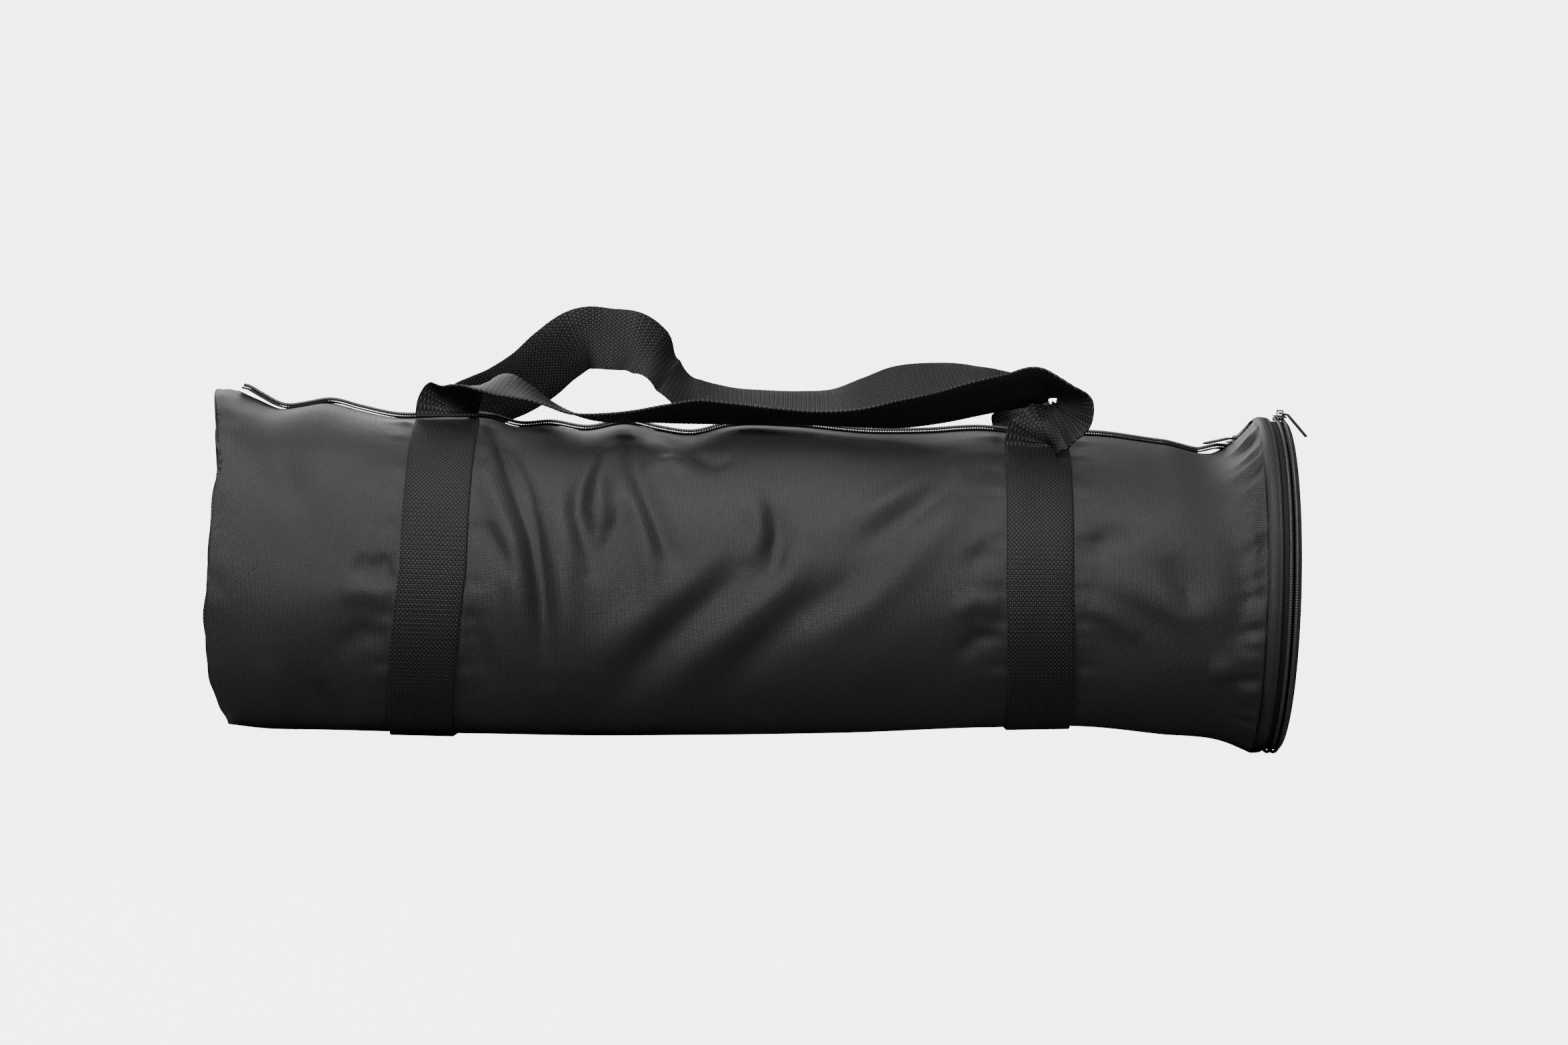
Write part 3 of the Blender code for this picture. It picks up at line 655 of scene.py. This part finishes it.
def ring_frames(x, radius, arc, steps):
    """Centres, across and up directions round the rim, counted from the rear over the top."""
    turn = np.radians(np.linspace(arc[0], arc[1], steps + 1))
    up = np.stack((np.zeros_like(turn), np.cos(turn), np.sin(turn)), axis=1)
    centres = np.array((x, 0, RIM_HEIGHT)) + up * radius
    across = np.broadcast_to((1.0, 0, 0), up.shape)
    return centres, across, up


def ring(name, x_range, radii, arc, material, steps=180, closed=False):
    """A flat ring with round edges, between two places along X and two radii."""
    section = strap_section(x_range[1] - x_range[0], radii[1] - radii[0])
    frames = ring_frames(sum(x_range) / 2, sum(radii) / 2, arc, steps)
    return sweep(name, *frames, section, material, closed=closed)[0]


gusset_section = [
    (-0.0050, -0.0020), (-0.0040, -0.0012), (-0.0030, -0.0002), (-0.0015, 0.0004), (0.0000, 0.0004),
    (0.0018, 0.0003), (0.0024, -0.0001), (0.0030, 0.0002), (0.0040, -0.0002), (0.0046, -0.0012),
    (0.0030, -0.0022), (-0.0030, -0.0026),
]
frames = ring_frames(0.2990, 0.1004, (0, 360), 240)
gusset, _ = sweep("rim_cloth", *frames, gusset_section, CLOTH, closed=True)
settle(gusset, "case", "cloth", "right_gusset")
tape_radii = (TAPE_RADIUS - TAPE_THICKNESS, TAPE_RADIUS)
body_tape = ring("rim_tape", (0.3031, CHAIN_X - CHAIN_GAP / 2), tape_radii, CHAIN_ARC, TAPE)
settle(body_tape, "case", "tape", "end_zip_tape_body")
door_tape = ring("door_tape", (CHAIN_X + CHAIN_GAP / 2, 0.3140), tape_radii, CHAIN_ARC, CLOTH)
settle(door_tape, "door", "cloth", "end_zip_tape_door")
body_hinge = ring("rim_hinge_cloth", (0.3031, 0.3098), tape_radii, HINGE_ARC, CLOTH, 60)
settle(body_hinge, "case", "cloth", "hinge_cloth_body")
door_hinge = ring("door_hinge_cloth", (0.3104, 0.3140), tape_radii, HINGE_ARC, CLOTH, 60)
settle(door_hinge, "door", "cloth", "hinge_cloth_door")

# %% The door's panel and its foam
door_angle = np.linspace(0, 2 * math.pi, 181)
DOOR_FACE, DOOR_RADIUS = 0.3132, 0.0971
door_rim = np.stack(
    (
        np.full_like(door_angle, DOOR_FACE),
        DOOR_RADIUS * np.cos(door_angle),
        RIM_HEIGHT + DOOR_RADIUS * np.sin(door_angle),
    ),
    1,
)
door_rim[0] = door_rim[-1]
door_places = disc_places(door_rim, (DOOR_FACE, 0, RIM_HEIGHT), 40, 0.0018, (1, 0, 0))
door_cloth = lay_grid("door_cloth", door_places, door_places[..., 1:].copy(), CLOTH)
flip_towards(door_cloth, (1, 0, 0))
thicken(door_cloth, CLOTH_THICKNESS)
settle(door_cloth, "door", "cloth", "door_panel")
foam_rim = door_rim + [-0.0052, 0, 0]
foam_rim[:, 1:] = [0, RIM_HEIGHT] + (foam_rim[:, 1:] - [0, RIM_HEIGHT]) * 0.925
foam_places = disc_places(foam_rim, (0.3080, 0, RIM_HEIGHT), 20, 0.0, (1, 0, 0))
door_foam = lay_grid("door_lining", foam_places, foam_places[..., 1:].copy(), LINING)
flip_towards(door_foam, (-1, 0, 0))
thicken(door_foam, FOAM)
settle(door_foam, "door", "foam", "door_padding")

# %% [markdown]
# ## Zips
# A nylon zip is a coil of filament sewn to each tape. From the side each coil is a row of small
# rounded teeth, so here a round section swells and shrinks along the chain, once a tooth.

# %% Coils
TOOTH = 0.0015


def tooth_swell(count, per_tooth=6):
    """Thickness along a coil: full on each tooth and thin between teeth."""
    phase = np.arange(count * per_tooth + 1) / per_tooth
    return 0.62 + 0.38 * np.abs(np.sin(math.pi * phase)) ** 0.6


def coil_section(width, height):
    return [(width / 2 * math.cos(a), height / 2 * math.sin(a)) for a in np.radians(np.arange(0, 360, 45))]


def end_coil(name, x, body, node):
    teeth = round(math.radians(CHAIN_ARC[1] - CHAIN_ARC[0]) * TAPE_RADIUS / TOOTH)
    swell = tooth_swell(teeth)
    radius = TAPE_RADIUS + 0.0003 + COIL_HEIGHT / 2
    frames = ring_frames(x, radius, CHAIN_ARC, len(swell) - 1)
    piece, _ = sweep(name, *frames, coil_section(COIL_WIDTH, COIL_HEIGHT), NYLON, swell=swell)
    return settle(piece, body, "coil", node)


half_pitch = (CHAIN_GAP + COIL_WIDTH) / 2
end_coil("rim_coil", CHAIN_X - half_pitch, "case", "end_zip_coil_body")
end_coil("door_coil", CHAIN_X + half_pitch, "door", "end_zip_coil_door")

# %% The top zip
TOP_X = (-0.3135, 0.2920)


def top_line(x, y, rise):
    """Points over the top zip, raised above the cloth's edge."""
    edge = case_surface(x, np.full_like(x, start))[:, 2]
    straight = chain_height(x) - 0.0012
    near_end = np.clip((x - 0.262) / 0.012, 0, 1)
    level = edge + 0.0004
    level = level * (1 - near_end) + straight * near_end
    return np.stack((x, np.full_like(x, y), level + rise), axis=1)


def top_piece(name, y, rise, section, material, slot, node, swell=None, steps=400):
    x = np.linspace(TOP_X[0] + 0.003, TOP_X[1] - 0.001, steps + 1 if swell is None else len(swell))
    centres = top_line(x, y, rise)
    way = np.gradient(centres, axis=0)
    way /= np.linalg.norm(way, axis=1, keepdims=True)
    across = np.broadcast_to((0.0, 1.0, 0), way.shape)
    up = np.cross(way, across)
    piece, length = sweep(name, centres, across, up, section, material, swell=swell)
    settle(piece, "case", slot, node)
    return piece, length


zip_swell = tooth_swell(round((TOP_X[1] - TOP_X[0]) / TOOTH))
for side, sign in (("front", -1), ("rear", 1)):
    middle = sign * (SLOT + 0.0006) / 2
    width = SLOT + 0.0006
    tape, length = top_piece(
        "top_tape_" + side, middle, TAPE_THICKNESS / 2, strap_section(width, TAPE_THICKNESS), TAPE, "tape",
        "top_zip_tape_" + side,
    )
    top_piece(
        "top_coil_" + side, sign * half_pitch, TAPE_THICKNESS + 0.0003 + COIL_HEIGHT / 2,
        coil_section(COIL_WIDTH, COIL_HEIGHT), NYLON, "coil", "top_zip_coil_" + side, swell=zip_swell,
    )

# %% [markdown]
# ## Sliders and pulls
# The sliders and their flat pulls are cast metal with soft edges. Their CAD solids have the right
# shape, so each is copied, its loose triangles are merged, and its edges are rounded.

# %% Rounded copies of the metal pieces


def rounded_copy(node, name, radius, body):
    """A copy of a CAD solid with rounded edges."""
    work = bmesh.new()
    work.from_mesh(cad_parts[node].data)
    bmesh.ops.remove_doubles(work, verts=work.verts, dist=1e-6)
    bmesh.ops.dissolve_limit(work, angle_limit=math.radians(2), verts=work.verts, edges=work.edges)
    shared = [edge for edge in work.edges if len(edge.link_faces) == 2]
    sharp = [edge for edge in shared if edge.calc_face_angle() > math.radians(25)]
    bmesh.ops.bevel(
        work,
        geom=sharp,
        offset=radius,
        segments=2,
        profile=0.5,
        affect="EDGES",
        material=-1,
        clamp_overlap=True,
    )
    for face in work.faces:
        face.smooth = True
    mesh = bpy.data.meshes.new(name)
    work.to_mesh(mesh)
    work.free()
    mesh.materials.append(METAL)
    piece = bpy.data.objects.new(name, mesh)
    bpy.context.scene.collection.objects.link(piece)
    print(name, len(mesh.polygons), "faces")
    return settle(piece, body, "metal", node)


rounded_copy("top_zip_slider", "top_slider_metal", 0.00022, "top_slider")
rounded_copy("top_pull_tab", "top_pull_metal", 0.00025, "top_pull")
rounded_copy("end_zip_slider", "end_slider_metal", 0.00022, "end_slider")
rounded_copy("end_pull_tab", "end_pull_metal", 0.00025, "end_pull")
for node, finish in (
    ("end_zip_stop_rear", METAL),
    ("end_zip_stop_top", METAL),
    ("top_zip_stop", METAL),
    ("zip_end_tab", GREY),
):
    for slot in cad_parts[node].material_slots:
        slot.material = finish

# %% [markdown]
# ## Webbing
# The bands and handles are flat ribbed webbing. A flat strap bends but hardly stretches, so it is a
# section with round edges, carried along a route. Small ribs across it are part of the mesh, and
# the bright dots of its threads are painted highlights in its colour.

# %% Bands round the body
WEBBING_WIDTH = 0.038
WEBBING_THICKNESS = 0.0016
RIB = 0.0028


def rib_swell(length, steps):
    """Low ribs across the webbing."""
    return 1.0 + 0.10 * np.sin(2 * math.pi * length / RIB * np.linspace(0, 1, steps))


def band(name, top_x, low_shift, arc_degrees, node):
    steps = 900
    angle = np.radians(np.linspace(arc_degrees[0], arc_degrees[1], steps))
    middle = case_surface(np.full_like(angle, top_x), angle)
    x = top_x + low_shift * np.clip((0.1 - middle[:, 2]) / 0.1, 0, None)
    rows = []
    for side in np.linspace(-0.5, 0.5, 9):
        rows.append(case_surface(x + side * WEBBING_WIDTH, angle, -0.0005))
    rows = np.array(rows)
    centres = rows[4]
    way = np.gradient(centres, axis=0)
    way /= np.linalg.norm(way, axis=1, keepdims=True)
    across = rows[8] - rows[0]
    across /= np.linalg.norm(across, axis=1, keepdims=True)
    up = np.cross(across, way)
    up *= np.sign((up * (centres - [0, 0, 0.1]))[:, 1:].sum(axis=1, keepdims=True))
    length = float(np.linalg.norm(np.diff(centres, axis=0), axis=1).sum())
    centres = centres + up * WEBBING_THICKNESS / 2
    section = strap_section(WEBBING_WIDTH, WEBBING_THICKNESS)
    piece, length = sweep(name, centres, across, up, section, WEBBING, swell=rib_swell(length, steps))
    settle(piece, "case", "webbing", node)
    return piece


band("left_band_webbing", -0.1855, -0.0105, (16.5, 334.5), "left_band")
band("right_band_webbing", 0.1630, 0.0060, (26.2, 334.5), "right_band")

# %% Handles
# Places along each handle and the direction across it, in millimetres, from left to right.
FRONT_ROUTE = [
    (-185.5, -30.0, 189.3, 1, 0, 0), (-185.5, -30, 193, 1, 0, 0), (-181, -31, 200, 0.95, 0.30, 0),
    (-175, -34, 204, 0.76, 0.64, 0.03), (-165, -37, 208, 0.55, 0.80, 0.22),
    (-154, -39, 209, 0.31, 0.89, 0.34), (-141, -40, 205, 0.12, 0.96, 0.26),
    (-127, -41, 199, 0, 0.99, 0.11), (-112, -41, 193, 0, 1, 0.03), (-94, -40, 190.8, 0, 1, -0.08),
    (-74, -40, 192, 0, 0.99, -0.14), (-55, -40, 194, 0, 0.97, -0.25),
    (-39, -39, 195.5, 0, 0.94, -0.33), (-16, -39, 195, 0, 0.96, -0.29), (9, -39, 194, 0, 0.97, -0.22),
    (35, -39, 193.5, 0, 0.98, -0.18), (61, -39, 194.5, 0.11, 0.96, -0.25),
    (81, -39, 197, 0.14, 0.91, -0.38), (103, -40, 201, 0.26, 0.87, -0.41),
    (130, -44, 208, 0.36, 0.82, -0.44), (150, -48, 212.5, 0.40, 0.79, -0.46),
    (169, -53, 216, 0.42, 0.79, -0.43), (178, -54, 212, 0.01, 0.96, -0.29),
    (183, -53, 206, -0.50, 0.85, -0.18), (182, -52, 199, -0.68, 0.73, -0.09),
    (175, -50, 192, -0.80, 0.60, 0), (166, -47.5, 187, -0.97, 0.24, 0), (163, -45.6, 182.5, -1, 0, 0),
    (163, -45.5, 179.0, -1, 0, 0),
]
REAR_ROUTE = [
    (-185.5, 45.5, 183.6, 1, 0, 0), (-185.5, 45.4, 188, 1, 0, 0), (-178, 43, 196, 0.99, 0.06, -0.15),
    (-167, 40, 202, 0.96, 0.14, -0.23), (-154, 36, 208, 0.90, 0.20, -0.37),
    (-139, 31, 217.5, 0.79, 0.26, -0.55), (-125, 26, 230, 0.77, 0.22, -0.60),
    (-109, 22, 240, 0.80, 0.05, -0.60), (-92, 21, 240, 0.47, -0.17, -0.87),
    (-78, 20, 238.5, 0.17, -0.21, -0.96), (-68, 21, 232.5, 0.14, -0.28, -0.95),
    (-57, 24, 219, 0.24, -0.43, -0.87), (-42, 28, 206, 0.30, -0.60, -0.74),
    (-20, 31, 203, 0.22, -0.80, -0.56), (4, 32, 202, 0.07, -0.85, -0.53),
    (25, 32, 202, 0, -0.85, -0.53), (44, 32, 203.5, 0, -0.84, -0.54), (64, 32, 209, 0, -0.75, -0.66),
    (82, 32, 215, 0.08, -0.70, -0.71), (106, 34, 219.5, 0.07, -0.77, -0.63),
    (130, 40, 221, 0.14, -0.85, -0.52), (145, 45, 218, -0.24, -0.87, -0.43),
    (153, 47, 211, -0.78, -0.54, -0.31), (158, 46, 203, -0.96, -0.11, -0.24),
    (161, 45.5, 194, -1, 0, -0.1), (163, 45.5, 184.5, -1, 0, 0), (163, 45.5, 180, -1, 0, 0),
]


def handle(name, route, body):
    stops = np.array(route, float)
    stops[:, :3] /= 1000
    gaps = np.linalg.norm(np.diff(stops[:, :3], axis=0), axis=1)
    reach = np.concatenate(([0.0], np.cumsum(gaps)))
    steps = 820
    fine = curve_at(np.column_stack((reach, stops)), np.linspace(0, reach[-1], steps))
    centres = fine[:, :3]
    way = np.gradient(centres, axis=0)
    way[0], way[-1] = way[1], way[-2]
    way /= np.linalg.norm(way, axis=1, keepdims=True)
    across = fine[:, 3:]
    up = np.cross(way, across)
    up /= np.linalg.norm(up, axis=1, keepdims=True)
    across = np.cross(up, way)
    section = strap_section(WEBBING_WIDTH, WEBBING_THICKNESS)
    piece, length = sweep(name, centres, across, up, section, WEBBING, swell=rib_swell(reach[-1], steps))
    settle(piece, body, "webbing", body)
    print(name, "length", round(length, 3))
    return piece


handle("front_handle_webbing", FRONT_ROUTE, "front_handle")
handle("rear_handle_webbing", REAR_ROUTE, "rear_handle")

# %% [markdown]
# ## The floor, and the end of the script
# A plain pale floor carries the case. It glows for the camera alone, so it looks pale and hardly
# lights the case.

# %% Floor and finish
work = bmesh.new()
bmesh.ops.create_grid(work, x_segments=4, y_segments=4, size=6.0)
bmesh.ops.translate(work, verts=work.verts, vec=(0, 2.0, -0.0006))
floor_mesh = bpy.data.meshes.new("floor")
work.to_mesh(floor_mesh)
work.free()
floor = bpy.data.objects.new("floor", floor_mesh)
bpy.context.scene.collection.objects.link(floor)
pale = bpy.data.materials.new("pale floor")
pale.use_nodes = True
pale_shader = pale.node_tree.nodes["Principled BSDF"]
pale_shader.inputs["Base Color"].default_value = (0.22, 0.22, 0.22, 1)
pale_shader.inputs["Roughness"].default_value = 0.9
pale_shader.inputs["Emission Strength"].default_value = 5.0
bare = pale.node_tree.nodes.new("ShaderNodeLightPath")
pale.node_tree.links.new(bare.outputs["Is Camera Ray"], pale_shader.inputs["Emission Color"])
floor_mesh.materials.append(pale)
